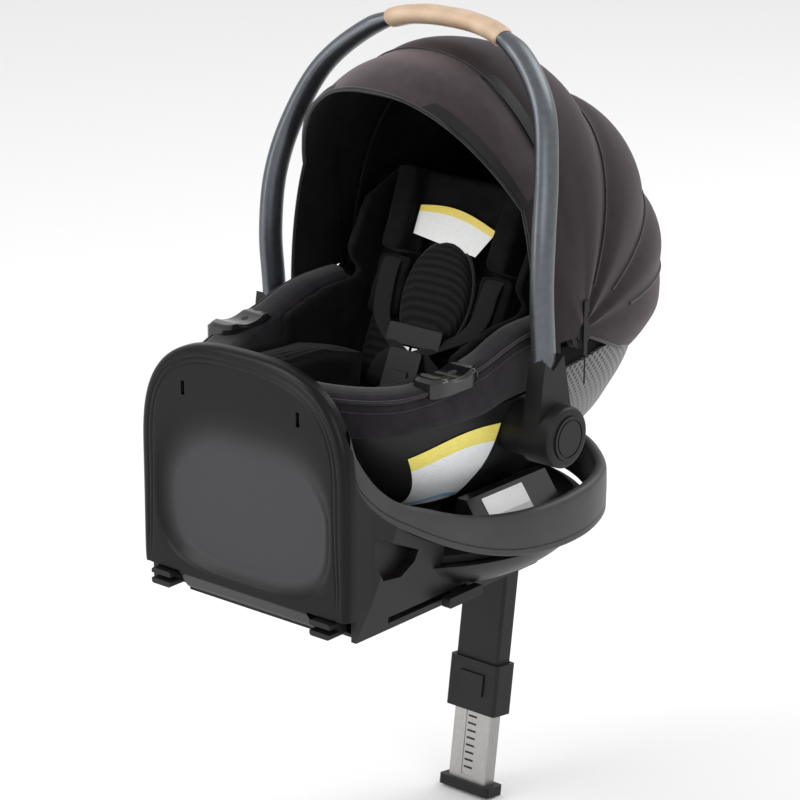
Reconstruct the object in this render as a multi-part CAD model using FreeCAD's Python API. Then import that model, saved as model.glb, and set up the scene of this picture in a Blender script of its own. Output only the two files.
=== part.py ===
import FreeCAD, Part
import math
import os
from FreeCAD import Matrix, Vector

os.makedirs("parts", exist_ok=True)

# Infant car seat: a carrier that clicks into a turning base with an anti-rebound panel and a load leg.
# Millimetres. +Z is up, -Y is the child's feet, X = 0 is the plane of symmetry, and Z = 0 is the
# base's underside. The turntable turns about X = 0, Y = 0, and the handle's hubs lie on Y = 0.

# Base
BASE_HALF = 147.0  # half width at the underside
BASE_FLARE = 20.0  # how far each side leans out by FLARE_TOP
FLARE_TOP = 190.0
BASE_FRONT = -256.0
PANEL_FACE = -272.0
PANEL_TOP = 292.0
PANEL_HALF = 148.0
RIM_WALL = 15.0
FLOOR_Z = 46.0  # floor of the well that the turntable sits in
WELL_R = 196.0

# Carrier
BACK_ANGLE = 66.0  # slope of the backrest
BACK_FOOT = (35.0, 150.0)  # Y, Z where the backrest meets the seat
HUB_Z = 177.0
HUB_R = 34.0
HUB_IN = 186.0
HUB_OUT = 226.0
AXLE_R = 8.0

# Canopy: every panel turns about this line, and each is a step inside the one that slides over it
PIVOT_Y = 90.0
PIVOT_Z = 262.0
CLOTH = 1.2

# Load leg
LEG_Y = 168.0
LEG_Z = 20.0
LEG_LEAN = 8.0
LEG_LENGTH = 368.0

RUN = 0.05  # radial clearance of a pin in its hole
SEAM = 0.5  # gap between fixed pieces whose curved faces follow each other


def save(name, shape):
    if not shape.isValid():
        print("not valid:", name)
    shape.exportStep("parts/" + name + ".step")


def box(x0, x1, y0, y1, z0, z1):
    return Part.makeBox(x1 - x0, y1 - y0, z1 - z0, Vector(x0, y0, z0))


def rod_x(x0, x1, y, z, r):
    return Part.makeCylinder(r, x1 - x0, Vector(x0, y, z), Vector(1, 0, 0))


def disc(r, z0, z1, x=0.0, y=0.0):
    return Part.makeCylinder(r, z1 - z0, Vector(x, y, z0))


def round_box(x0, x1, y0, y1, z0, z1, r, axis):
    """A box whose edges along one axis are rounded."""
    solid = box(x0, x1, y0, y1, z0, z1)
    along = {"x": Vector(1, 0, 0), "y": Vector(0, 1, 0), "z": Vector(0, 0, 1)}[axis]
    edges = [e for e in solid.Edges if abs(e.tangentAt(e.FirstParameter).dot(along)) > 0.99]
    return solid.makeFillet(r, edges)


def mirror_x(shape):
    return shape.mirror(Vector(0, 0, 0), Vector(1, 0, 0))


def both_sides(shape):
    return Part.makeCompound([shape, mirror_x(shape)])


def side_prism(points, x0, x1):
    """An outline of (Y, Z) points, pulled along X."""
    wire = Part.makePolygon([Vector(x0, y, z) for y, z in points + points[:1]])
    return Part.Face(wire).extrude(Vector(x1 - x0, 0, 0))


def front_prism(points, y0, y1):
    """An outline of (X, Z) points, pulled along Y."""
    wire = Part.makePolygon([Vector(x, y0, z) for x, z in points + points[:1]])
    return Part.Face(wire).extrude(Vector(0, y1 - y0, 0))


def spline_edge(points):
    curve = Part.BSplineCurve()
    curve.interpolate(points)
    return curve.toShape()


def band_prism(top, low, x0, x1):
    """The space between two smooth (Y, Z) curves that start and end at the same Y."""
    upper = [Vector(x0, y, z) for y, z in top]
    lower = [Vector(x0, y, z) for y, z in low]
    edges = [
        spline_edge(upper),
        Part.makeLine(upper[-1], lower[-1]),
        spline_edge(lower[::-1]),
        Part.makeLine(lower[0], upper[0]),
    ]
    return Part.Face(Part.Wire(Part.__sortEdges__(edges))).extrude(Vector(x1 - x0, 0, 0))


def turn(shape, y, z, degrees):
    """Turns a shape about a line along X through (Y, Z)."""
    moved = shape.copy()
    moved.rotate(Vector(0, y, z), Vector(1, 0, 0), degrees)
    return moved


# ---- Base


def base_outline(z, grow=0.0):
    """The body's rounded plan at height z."""
    half = BASE_HALF + BASE_FLARE * z / FLARE_TOP + grow
    r = 16.0
    y0, y1 = BASE_FRONT, 62.0
    p = [Vector(half, y0, z), Vector(half, y1 - r, z), Vector(half - r, y1, z)]
    q = [Vector(r - half, y1, z), Vector(-half, y1 - r, z), Vector(-half, y0, z)]
    bow = r * math.sqrt(0.5)
    right = Part.Arc(p[1], Vector(half - r + bow, y1 - r + bow, z), p[2]).toShape()
    left = Part.Arc(q[0], Vector(r - half - bow, y1 - r + bow, z), q[1]).toShape()
    lines = [Part.makeLine(a, b) for a, b in ((p[0], p[1]), (p[2], q[0]), (q[1], q[2]), (q[2], p[0]))]
    return Part.Wire([lines[0], right, lines[1], left, lines[2], lines[3]])


RIM_LOW = [(-264, 222), (-247, 159), (-183, 105), (-89, 61), (0, 48), (100, 50), (224, 58)]
RIM_TOP = [(-264, 262), (-250, 205), (-212, 152), (-164, 128), (-106, 108), (-30, 101), (73, 104), (224, 108)]
RIM_PLAN = [(142, -264), (160, -205), (189, -106), (211, -18), (207, 75), (152, 160), (60, 209)]


def rim_plan(inset):
    """The rim's closed plan, drawn inwards by inset."""
    right = []
    for x, y in RIM_PLAN:
        reach = math.hypot(x, y)
        k = 1 - inset / reach
        right.append(Vector(x - inset, y, 0) if y < -150 else Vector(x * k, y * k, 0))
    left = [Vector(-p.x, p.y, 0) for p in reversed(right)]
    rear = Vector(0, 215 - inset, 0)
    curve = spline_edge(right + [rear] + left)
    close = Part.makeLine(left[-1], right[0])
    return Part.Face(Part.Wire([curve, close])).extrude(Vector(0, 0, 320))


def rim_band():
    ring = rim_plan(0.0).cut(rim_plan(RIM_WALL))
    ring = ring.cut(box(-131, 131, -300, -200, -10, 400))
    band = ring.common(band_prism(RIM_TOP, RIM_LOW, -240, 240))
    band = band.cut(box(-240, 240, -300, PANEL_FACE + 16, -10, 400))
    return band.cut(box(-23.0, 23.0, 190, 230, 71.5, 92.5))


def panel_outline(grow, low):
    """The anti-rebound panel's front outline, from Z = low up to its crown."""
    k = PANEL_HALF + grow
    shoulder = [(k, 150), (k - 4, 210), (k - 20, 248), (k - 52, 277 + grow * 0.7), (k - 98, 289 + grow)]
    right = [Vector(x, 0, z) for x, z in shoulder]
    left = [Vector(-p.x, 0, p.z) for p in reversed(right)]
    curve = spline_edge(right + [Vector(0, 0, PANEL_TOP + grow)] + left)
    a, b = Vector(k - 2, 0, low), Vector(2 - k, 0, low)
    lines = [Part.makeLine(left[-1], b), Part.makeLine(b, a), Part.makeLine(a, right[0])]
    return Part.Face(Part.Wire([curve] + lines))


def anchor_notches():
    notch = front_prism([(88, -1), (140, -1), (140, 26), (98, 26)], -290, -246)
    return both_sides(notch)


def rebound_panel():
    panel = panel_outline(0, 0).extrude(Vector(0, 16, 0))
    panel.translate(Vector(0, PANEL_FACE, 0))
    rounded = [e for e in panel.Edges if abs(e.CenterOfMass.y - PANEL_FACE) < 0.1 and e.CenterOfMass.z > 60]
    panel = panel.makeFillet(9.0, rounded)
    foot = side_prism([(PANEL_FACE - 1, -1), (PANEL_FACE - 1, 24), (PANEL_FACE + 16, -1)], -200, 200)
    recess = panel_outline(-34, 44).extrude(Vector(0, 20, 0))
    recess.translate(Vector(0, PANEL_FACE - 15, 0))
    slot = round_box(79.5, 84.5, -280, -250, 229, 245, 2.0, "y")
    return panel.cut(foot).cut(recess).cut(both_sides(slot)).cut(anchor_notches())


def panel_pins():
    """Bright guide loops that show in the panel's two slots."""
    return both_sides(round_box(80.5, 83.5, -268, -258, 230.5, 243.5, 1.4, "y"))


GRIP = [(-236, 118), (-160, 84), (-166, 66), (-190, 52), (-222, 56), (-237, 82)]
GRIP_CUP = [(-232, 112), (-165, 81), (-170, 69), (-191, 57), (-220, 61), (-232, 83)]
SCREWS = [(side * x, y) for side in (-1, 1) for x, y in ((60, -238), (60, 48), (116, -20))]


FRONT_TAPER = [(147.5, BASE_FRONT), (151, -236), (159, -205), (170, -160), (170, 70)]


def front_taper():
    """The plan that the housing keeps within, so that its front is no wider than the panel."""
    plan = FRONT_TAPER + [(-x, y) for x, y in reversed(FRONT_TAPER)]
    wire = Part.makePolygon([Vector(x, y, -1) for x, y in plan + plan[:1]])
    return Part.Face(wire).extrude(Vector(0, 0, 300))


def base_body():
    """The housing's outer shape, before the rim is cut from above it."""
    body = Part.makeLoft([base_outline(0), base_outline(FLARE_TOP)], True, True)
    body = body.common(front_taper())
    body = body.cut(band_prism([(y, 400) for y, z in RIM_LOW], RIM_LOW, -240, 240))
    arc = Part.Arc(Vector(110, 0, 0), Vector(172, 0, 17), Vector(205, 0, 50)).toShape()
    lines = [Vector(205, 0, 50), Vector(0, 0, 50), Vector(0, 0, 0), Vector(110, 0, 0)]
    edges = [arc] + [Part.makeLine(a, b) for a, b in zip(lines, lines[1:])]
    dish = Part.Face(Part.Wire(edges)).revolve(Vector(0, 0, 0), Vector(0, 0, 1), 360)
    dish = dish.cut(band_prism([(y, 400) for y, z in RIM_LOW], RIM_LOW, -240, 240))
    return body.fuse(dish).fuse(box(-58, 58, 146, 190, 6, 48))


def base_housing():
    body = base_body()
    body = body.cut(disc(WELL_R, FLOOR_Z, 400))
    body = body.cut(side_prism([(-240, 400), (-240, 118), (-150, 66), (0, 60), (0, 400)], -134, 134))
    body = body.cut(box(-43, 43, -218, 230, -1, 38.5)).cut(rod_x(-43, 43, LEG_Y, LEG_Z, 23.0))
    body = body.cut(box(-20, 20, -83, -49, 38, 41))  # room for the folded leg's button
    body = body.cut(rod_x(-52, 52, LEG_Y, LEG_Z, 5.0 + RUN))
    body = body.cut(disc(18.0 + RUN, 20, 60))
    body = body.cut(both_sides(box(98, 132, -300, -60, 4, 24)))
    body = body.cut(both_sides(box(131, 170, -206, -76, 7.5, 14.5)))
    body = body.cut(both_sides(box(50, 90, -225, 30, 3, 42)))
    body = body.cut(both_sides(box(96, 136, -225, -60, 28, 56)))
    body = body.cut(both_sides(side_prism(GRIP, 136, 200))).cut(anchor_notches())
    for x, y in SCREWS:
        body = body.cut(disc(4.0 + RUN, -1, 9, x, y))
    return body


def side_grips():
    """The hand recess in each side of the base, a cup of its own."""
    cup = base_body().common(side_prism(GRIP, 136.0, 200))
    return both_sides(cup.cut(side_prism(GRIP_CUP, 140, 200)))


def base_screws():
    heads = []
    for x, y in SCREWS:
        head = disc(4.0, 0.6, 8, x, y)
        heads.append(head.cut(disc(1.8, 0.0, 3.5, x, y)))
    return Part.makeCompound(heads)


def bearing_ring():
    return disc(170, FLOOR_Z, FLOOR_Z + 3.6).cut(disc(150, FLOOR_Z - 1, FLOOR_Z + 5))


def rotation_button():
    return round_box(-22.5, 22.5, 206, 219, 72, 92, 3.0, "y")


# ---- Lower anchors (right side; the left is its mirror image)


def anchor_bar():
    return box(103, 127, -250, -70, 8, 20)


def anchor_jaw():
    jaw = round_box(101, 129, -278, -250, 5, 23, 3.0, "y")
    return jaw.cut(box(95, 135, -290, -262, 11, 17))


def anchor_slider():
    grip = round_box(152, 163, -122, -65, 1.5, 13.2, 2.5, "x")
    stem = box(127, 152, -100, -84, 9, 13)
    return grip.fuse(stem)


# ---- Load leg, drawn straight down from its hinge and then leaned


def leg_box(x, y0, y1, s0, s1, r=0.0):
    """A box on the leg: half width x, Y offsets, and distances s below the hinge."""
    if r:
        return round_box(-x, x, LEG_Y + y0, LEG_Y + y1, LEG_Z - s1, LEG_Z - s0, r, "z")
    return box(-x, x, LEG_Y + y0, LEG_Y + y1, LEG_Z - s1, LEG_Z - s0)


def leaned(shape):
    return turn(shape, LEG_Y, LEG_Z, -LEG_LEAN)


def leg_upper_tube():
    yoke = leg_box(40, -12, 12, -12, 28, 3.0)
    tube = leg_box(31, -13, 13, 26, 212, 4.0).cut(leg_box(28, -10, 10, 34, 300))
    return leaned(yoke.fuse(tube).cut(rod_x(-60, 60, LEG_Y, LEG_Z, 5.0 + RUN)))


def leg_hinge_pin():
    return rod_x(-51, 51, LEG_Y, LEG_Z, 5.0)


def leg_clamp_housing():
    shell = leg_box(36, -17, 16, 206, 268, 4.0).cut(leg_box(31.1, -13.1, 13.1, 200, 212.1))
    shell = shell.cut(leg_box(28, -10, 10, 200, 300))
    window = leg_box(17.4, -30, -12, 220.6, 247.4)
    return leaned(shell.cut(window))


def leg_button():
    return leaned(leg_box(17, -19.5, -15.5, 221, 247))


def leg_lower_tube():
    bar = leg_box(27.5, -9.5, 9.5, 135, 356, 2.0).cut(leg_box(25, -7, 7, 130, 356))
    groove = leg_box(9, -12, -8.7, 150, 350)
    marks = []
    for k in range(8):
        s = 276 + 9 * k
        marks.append(leg_box(6, -9, -8.2, s, s + 2.2))
    return leaned(bar.cut(groove).cut(Part.makeCompound(marks)))


def leg_foot():
    foot = leg_box(37, -15, 14, 356, LEG_LENGTH, 4.0)
    plug = leg_box(24.8, -6.8, 6.8, 340, 356)
    return leaned(foot.fuse(plug))


# ---- Turntable


def turntable_plate():
    plate = disc(191, FLOOR_Z + 3.9, FLOOR_Z + 12)
    return plate.fuse(disc(18, 39.5, FLOOR_Z + 6))


TOWER = [(120, 58), (168, 58), (168, 64), (139, 104), (127, 104)]
BAR_Z = 66.0
BARS_Y = (-58.0, 92.0)


def dock_towers():
    tower = front_prism(TOWER, -66, 72)
    front_saddle = box(96, 121, -70, -46, 58, 74)
    rear_saddle = box(96, 119, 80, 104, 58, 74)
    link = box(112, 124, 60, 104, 58, 74)
    tower = tower.fuse(front_saddle).fuse(rear_saddle).fuse(link)
    for y in BARS_Y:
        tower = tower.cut(rod_x(90, 112, y, BAR_Z, 4.0))
    return both_sides(tower)


def dock_bars():
    return Part.makeCompound([rod_x(-111, 111, y, BAR_Z, 4.0) for y in BARS_Y])


# ---- Carrier shell

# Height, half width, and the Y of the foot end and of the head end
SECTIONS = [
    (78, 84, -92, 128),
    (104, 110, -140, 184),
    (118, 122, -164, 206),
    (136, 136, -186, 238),
    (162, 149, -212, 262),
    (190, 158, -232, 286),
    (216, 163, -242, 296),
    (262, 163, -242, 300),
    (300, 163, -242, 300),
]
SQUARE = 3.2  # exponent of the rounded plan: 2 is an ellipse


def plan_wire(z, half, front, back, grow):
    """A rounded plan: two half superellipses that meet at the widest line, Y = 0."""
    points = []
    steps = 32
    for i in range(steps):
        a = 2 * math.pi * i / steps
        c, s = math.cos(a), math.sin(a)
        reach = back + grow if s > 0 else -front + grow
        x = (half + grow) * math.copysign(abs(c) ** (2 / SQUARE), c)
        y = reach * math.copysign(abs(s) ** (2 / SQUARE), s)
        points.append(Vector(x, y, z))
    curve = Part.BSplineCurve()
    curve.interpolate(points, True)
    return Part.Wire(curve.toShape())


def bucket(grow, lift=0.0):
    """The shell's outer form, grown outwards by grow, with its floor raised by lift."""
    wires = []
    for i, (z, half, front, back) in enumerate(SECTIONS):
        wires.append(plan_wire(z + lift if i == 0 else z, half, front, back, grow))
    return Part.makeLoft(wires, True, False)


REAR_ZONE = [(60, 120), (400, 120), (400, 250), (60, 222)]
FRONT_TOP = [(-400, 0), (400, 0), (400, 120), (60, 120), (60, 212), (-400, 212)]


def shell_wall():
    return OUTER.cut(bucket(-4.0, 5.0))


def carrier_shell(wall):
    shell = wall.common(side_prism(FRONT_TOP, -300, 300))
    for jaw in latch_jaws():
        shell = shell.fuse(jaw)
    return shell


def rear_shell(wall):
    shell = wall.common(side_prism(REAR_ZONE, -300, 300))
    return shell.cut(box(-30, 30, 270, 320, 192, 226))


def release_lever():
    grip = round_box(-38, 38, 303, 314, 196, 212, 4.0, "x")
    stem = box(-24, 24, 282, 304, 199, 206)
    return grip.fuse(stem)


def latch_jaws():
    """Four open-bottomed jaws under the shell, which drop over the dock's bars."""
    jaws = []
    for y in BARS_Y:
        jaw = box(66, 88, y - 11, y + 11, 59, 82).cut(box(60, 90, y - 4.5, y + 4.5, 50, BAR_Z))
        jaw = jaw.cut(rod_x(60, 90, y, BAR_Z, 4.5)).cut(bucket(-2.0, 2.0))
        jaws.append(jaw)
        jaws.append(mirror_x(jaw))
    return jaws


def handle_mount():
    boss = rod_x(150, HUB_IN - 0.5, 0, HUB_Z, 30).cut(bucket(SEAM))
    return boss.cut(rod_x(140, 200, 0, HUB_Z, AXLE_R))


def handle_axle():
    return rod_x(172, 208, 0, HUB_Z, AXLE_R)


# ---- Seat: liner, pads and cover


def on_back(d, n):
    """(Y, Z) of a point d up the backrest and n in front of it."""
    a = math.radians(BACK_ANGLE)
    y = BACK_FOOT[0] + d * math.cos(a) - n * math.sin(a)
    return (y, BACK_FOOT[1] + d * math.sin(a) + n * math.cos(a))


def tub(inset, top):
    """The seat's hollow in side view, made smaller by inset."""
    k = inset
    a = math.radians(BACK_ANGLE)
    corner = on_back(k * (1 - math.cos(a)) / math.sin(a), k)
    return [
        (-226 + k, top),
        (-218 + k, 238),
        (-116 + k * 0.5, 162 + k),
        corner,
        on_back(262, k),
        (on_back(262, k)[0], top),
    ]


CORNER = 13.0  # least wall left round the seat's hollow at the shell's rounded corners


def hollow(shape):
    """Keeps the part of a cutter that stays CORNER inside the shell, below the shell's top."""
    return shape.cut(box(-200, 200, -300, -100, 60, 300).cut(bucket(-CORNER)))


RIM_CLOTH = [(-262, 262), (-184, 254), (-134, 258), (-68, 269), (-34, 279), (0, 286), (62, 288)]
SKIRT_LOW = [(-262, 210), (-184, 208), (-134, 208), (-68, 208), (-34, 214), (0, 216), (62, 216)]


def foam_liner():
    zone = [(-300, 60), (300, 60), (300, 246), (40, 246), (-300, 232)]
    block = bucket(-5.0, 6.0).common(side_prism(zone, -300, 300))
    block = block.cut(hollow(side_prism(tub(0, 420), -126, 126))).cut(box(-30, 30, 270, 320, 192, 226))
    return block.cut(adjuster_space(0.3))


def seat_pad():
    outer = side_prism(tub(1, 430), -125, 125)
    pad = outer.cut(side_prism(tub(13, 440), -113, 113))
    low = [(-300, 0), (400, 0), (400, 430), on_back(262, 13), on_back(215, 55), on_back(150, 62), (62, 284)]
    low += [(0, 282), (-34, 275), (-68, 265), (-134, 254), (-184, 250), (-300, 258)]
    pad = pad.common(side_prism(low, -200, 200))
    pad = pad.cut(box(-200, 200, -300, -100, 60, 300).cut(bucket(-CORNER - 1.0)))
    return pad.cut(both_sides(box(103, 130, -150, -70, 240, 300))).cut(adjuster_space(0.6))


def seat_cover():
    """The fabric over the rim: a rolled top with a skirt down the outside."""
    outer = bucket(4.0)
    lowered = [(y, z - 9) for y, z in RIM_CLOTH]
    opening = hollow(box(-126, 126, -227, 80, 100, 400))
    roll = outer.common(band_prism(RIM_CLOTH, lowered, -200, 200)).cut(opening)
    skirt = outer.cut(bucket(0.6)).common(band_prism(lowered, SKIRT_LOW, -200, 200))
    cover = roll.fuse(skirt)
    cover = cover.cut(box(-200, 200, 60, 400, 0, 400))
    return cover.cut(both_sides(box(127.5, 190, -150.6, -71.4, 250, 300)))


def belt_guide():
    """A glossy saddle that the vehicle's lap belt runs through."""
    guide = round_box(128, 172, -150, -72, 251, 268, 6.0, "x").cut(rod_x(100, 200, -111, 312, 52))
    return guide.cut(box(130, 170, -140, -82, 200, 254))


def infant_insert():
    return side_prism([on_back(16, 14), on_back(158, 14), on_back(158, 26.5), on_back(16, 26.5)], -98, 98)


def on_seat_back(shape):
    """Stands a shape drawn flat (x, distance up, height) against the backrest."""
    placed = shape.copy()
    placed.rotate(Vector(0, 0, 0), Vector(1, 0, 0), BACK_ANGLE)
    placed.translate(Vector(0, BACK_FOOT[0], BACK_FOOT[1]))
    return placed


def body_insert():
    """An oval cushion for the middle of the back."""
    oval = Part.Wire(Part.Ellipse(Vector(0, 0, 0), 64, 46).toShape())
    cushion = Part.Face(oval).extrude(Vector(0, 0, 19))
    rim = [e for e in cushion.Edges if e.CenterOfMass.z > 18.9]
    cushion = cushion.makeFillet(9.0, rim)
    cushion.rotate(Vector(0, 0, 0), Vector(0, 0, 1), 90)
    cushion.translate(Vector(0, 123, 27.4))
    return on_seat_back(cushion)


def head_support():
    """A horseshoe cushion that slides up the backrest."""
    pad = round_box(-95, 95, 165, 262, 15, 28, 5.0, "z")
    wing = round_box(64, 95, 165, 262, 27, 50, 5.0, "z")
    pad = pad.fuse(wing).fuse(mirror_x(wing)).cut(box(-52, 52, 160, 193, 0, 60))
    return on_seat_back(pad)


def side_bolsters():
    outline = [(-196, 241), (-186, 228.5), (-104, 179), (0, 172), (4, 212), (-60, 232)]
    return both_sides(side_prism(outline, 66, 111))


def strap_pads():
    return on_seat_back(both_sides(round_box(50, 96, 92, 160, 27.6, 37, 4.0, "z")))


def chest_clip():
    return on_seat_back(round_box(-38, 38, 64, 86, 50, 59, 3.0, "z"))


def buckle_housing():
    shell = round_box(-23, 23, 6, 58, 50, 66, 4.0, "z").cut(box(-11.4, 11.4, 11.6, 34.4, 60, 70))
    return on_seat_back(shell)


def buckle_button():
    return on_seat_back(round_box(-11, 11, 12, 34, 63.5, 68, 2.0, "z"))


def buckle_tongues():
    return on_seat_back(both_sides(box(2, 20, 58, 62, 55, 59)))


def ribbon(a, b, width, thick=1.8):
    """A flat strap from a to b, lying as level across X as it can."""
    run = b.sub(a)
    length = run.Length
    along = run.normalize()
    across = Vector(1, 0, 0).sub(along * along.x).normalize()
    up = along.cross(across)
    frame = Matrix(
        across.x, along.x, up.x, a.x,
        across.y, along.y, up.y, a.y,
        across.z, along.z, up.z, a.z,
        0, 0, 0, 1,
    )
    strap = Part.makeBox(width, length, thick, Vector(-width / 2, 0, -thick / 2))
    return strap.transformGeometry(frame)


def harness_straps(others):
    def spot(x, d, n):
        y, z = on_back(d, n)
        return Vector(x, y, z)

    shoulder = ribbon(spot(72, 91.5, 33), spot(18, 60, 62), 24)
    lap = ribbon(spot(63, 16, 34), spot(21, 59, 61), 24)
    anchor = on_seat_back(box(60, 84, 160.3, 162.3, 13.4, 34))
    straps = Part.makeCompound([shoulder, mirror_x(shoulder), anchor, mirror_x(anchor)])
    crotch = side_prism([on_back(5.5, 56), on_back(5.5, 59), (-14, 168), (-17, 168)], -19, 19)
    solids = straps.Solids + [crotch, lap, mirror_x(lap)]
    for other in others:
        solids = [s for solid in solids for s in solid.cut(other).Solids]
    kept = [s for s in solids if s.Volume > 60]
    return Part.makeCompound(kept)


ADJUSTER = (-166.0, 211.5, -37.4)  # Y, Z and slope of the front of the seat


def on_front(shape):
    placed = turn(shape, 0, 0, ADJUSTER[2])
    placed.translate(Vector(0, ADJUSTER[0], ADJUSTER[1]))
    return placed


def adjuster_space(grow):
    return on_front(box(-22 - grow, 22 + grow, -15 - grow, 15 + grow, -10.5, 40))


def adjuster_housing():
    frame = round_box(-22, 22, -15, 15, -10, 3, 3.0, "z").cut(box(-16, 16, -12.5, 12.5, -7.5, 4))
    return on_front(frame.cut(rod_x(-19.2, 19.2, -8, -0.5, 1.5 + RUN)))


def adjuster_lever():
    flap = box(-15.5, 15.5, -11, 11, -2.5, 1.5).fuse(rod_x(-19, 19, -8, -0.5, 1.5))
    return on_front(flap)


# ---- Canopy

FULL = 2.5  # exponent of every bow's arch


def arch_points(radius, half, start):
    """Half an arch in (X, distance from the pivot), from its foot at distance start to its crown."""
    first = math.asin((start / radius) ** (FULL / 2))
    steps = 9
    points = []
    for i in range(steps + 1):
        a = first + (math.pi / 2 - first) * i / steps
        points.append((half * math.cos(a) ** (2 / FULL), radius * math.sin(a) ** (2 / FULL)))
    points[-1] = (0.0, radius)
    return points


def pivot_point(x, r):
    return Vector(x, PIVOT_Y, PIVOT_Z + r)


def arch_edge(radius, half, start):
    side = arch_points(radius, half, start)
    whole = side + [(-x, r) for x, r in reversed(side[:-1])]
    return spline_edge([pivot_point(x, r) for x, r in whole])


def fan(outer, inner, start, first, last):
    """A hoop between two arches (radius, half width), swept from one angle behind vertical to another."""
    over = arch_edge(outer[0], outer[1], start)
    under = arch_edge(inner[0], inner[1], start)
    feet = [
        Part.makeLine(over.Vertexes[0].Point, under.Vertexes[0].Point),
        Part.makeLine(over.Vertexes[-1].Point, under.Vertexes[-1].Point),
    ]
    face = Part.Face(Part.Wire(Part.__sortEdges__([over, feet[0], under, feet[1]])))
    face.rotate(Vector(0, PIVOT_Y, PIVOT_Z), Vector(1, 0, 0), -first)
    return face.revolve(Vector(0, PIVOT_Y, PIVOT_Z), Vector(1, 0, 0), first - last)


def skin(radius, half, start, first, last):
    return fan((radius, half), (radius - CLOTH, half - CLOTH), start, first, last)


def cheeks(radius, half, reach, first, last):
    """The lowest part of a skin on each side, out to a distance from the pivot."""
    whole = skin(radius, half, 14.0, first, last)
    return whole.common(rod_x(-200, 200, PIVOT_Y, PIVOT_Z, reach))


# Radius and half width of each panel's outer face
VISOR = (307.0, 178.0)
FRONT = (301.0, 174.0)
MID = (270.0, 166.0)
REAR = (278.0, 171.0)
VISOR_FOOT = 176.0  # the visor hangs from the front panel down to this distance from the pivot
CHEEK_FRONT = 5.0


def canopy_visor():
    return skin(VISOR[0], VISOR[1], VISOR_FOOT, -29, -9)


def canopy_front():
    sides = cheeks(FRONT[0], FRONT[1], VISOR_FOOT, -88, -12).cut(box(-200, 200, -200, CHEEK_FRONT, 200, 600))
    return skin(FRONT[0], FRONT[1], 14, -12, 6.5).fuse(sides)


def canopy_gusset():
    """The folded cloth that joins the front panel to the middle one."""
    return fan((FRONT[0] - 2, FRONT[1] - 2), (MID[0] + 0.6, MID[1] + 0.6), 18, 6.8, 8.0)


def canopy_mid():
    return skin(MID[0], MID[1], 14, 5, 38)


def canopy_rear():
    return skin(REAR[0], REAR[1], 14, 36, 112)


def eye(x0, x1):
    ring = rod_x(x0, x1, PIVOT_Y, PIVOT_Z, 17)
    return both_sides(ring.cut(rod_x(x0 - 1, x1 + 1, PIVOT_Y, PIVOT_Z, 4 + RUN)))


def hoop(outer, inner, first, last):
    """A bow whose two ends turn on the pivot pins."""
    bow = fan(outer, inner, 12, first, last)
    bow = bow.cut(rod_x(-200, 200, PIVOT_Y, PIVOT_Z, 12.5))
    ends = eye(inner[1], outer[1])
    return bow.fuse(ends.Solids[0]).fuse(ends.Solids[1])


def visor_bow():
    return fan((305.4, 176.4), (302.4, 174.9), VISOR_FOOT, -28.5, -25.5)


def front_bow():
    return hoop((299.5, 172.5), (296.5, 171.3), -11, -7.5)


def mid_bow():
    return hoop((268.4, 164.4), (265, 161), 5.5, 9.5)


def canopy_mounts():
    bracket = round_box(148, 158, 74, 106, 250.5, 275, 4.0, "x")
    pin = rod_x(148, 174, PIVOT_Y, PIVOT_Z, 4)
    return both_sides(bracket.fuse(pin).fuse(rod_x(172.7, 174, PIVOT_Y, PIVOT_Z, 9)))


def zip_pull():
    slider = round_box(174.4, 178, 88, 97, 286, 300, 1.5, "x")
    tab = round_box(175.2, 177, 89, 95.5, 238, 288, 2.0, "x")
    tail = Part.makeCylinder(0.9, 34, Vector(176.1, 92, 205), Vector(0, 0, 1))
    return slider.fuse(tab).fuse(tail)


# ---- Handle

HANDLE_LEG = [(194, 1, 214), (194, -5, 275), (194, -9, 335), (191, -3, 400), (180, 14, 460)]
HANDLE_TOP = [(156, 38, 520), (112, 59, 563), (62, 69, 586)]
HANDLE_WIDE = 13.0  # half sizes of the oval tube
HANDLE_THIN = 8.5
GRIP_HALF = 80.0


def handle_path():
    right = [Vector(*p) for p in HANDLE_LEG + HANDLE_TOP]
    left = [Vector(-p.x, p.y, p.z) for p in reversed(right)]
    return Part.Wire(spline_edge(right + [Vector(0, 72, 592)] + left))


def oval_sweep(wide, thin):
    path = handle_path()
    start = path.Vertexes[0].Point
    oval = Part.Ellipse(Vector(0, 0, 0), wide, thin).toShape()
    oval.rotate(Vector(0, 0, 0), Vector(0, 0, 1), 90)
    oval.rotate(Vector(0, 0, 0), Vector(1, 0, 0), 5.6)
    oval.translate(start)
    return path.makePipeShell([Part.Wire(oval)], True, False)


def handle_grip():
    """The stitched leather sleeve round the middle of the handle."""
    sleeve = oval_sweep(HANDLE_WIDE + 2.2, HANDLE_THIN + 2.2)
    middle = box(-GRIP_HALF, GRIP_HALF, 0, 200, 500, 700)
    return sleeve.common(middle).cut(TUBE)


def hub_cover():
    barrel = rod_x(HUB_IN, HUB_OUT, 0, HUB_Z, HUB_R)
    edge = [e for e in barrel.Edges if e.CenterOfMass.x > HUB_OUT - 0.1 and len(e.Vertexes) == 1]
    barrel = barrel.makeFillet(5.0, edge[:1])
    neck = side_prism([(-30, 188), (-19, 262), (-5, 250), (13, 264), (30, 188)], HUB_IN, 208)
    cover = barrel.fuse(neck).cut(rod_x(180, 209, 0, HUB_Z, AXLE_R + RUN))
    return cover.cut(rod_x(213, 240, 0, HUB_Z, 25.0))


def hub_button():
    face = rod_x(219, 228, 0, HUB_Z, 24.6)
    ring = rod_x(226.8, 230, 0, HUB_Z, 21.5).cut(rod_x(226, 231, 0, HUB_Z, 19.5))
    return face.cut(ring)


# ---- Every part, by name

OUTER = bucket(0.0)
TUBE = oval_sweep(HANDLE_WIDE, HANDLE_THIN)
WALL = shell_wall()

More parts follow.
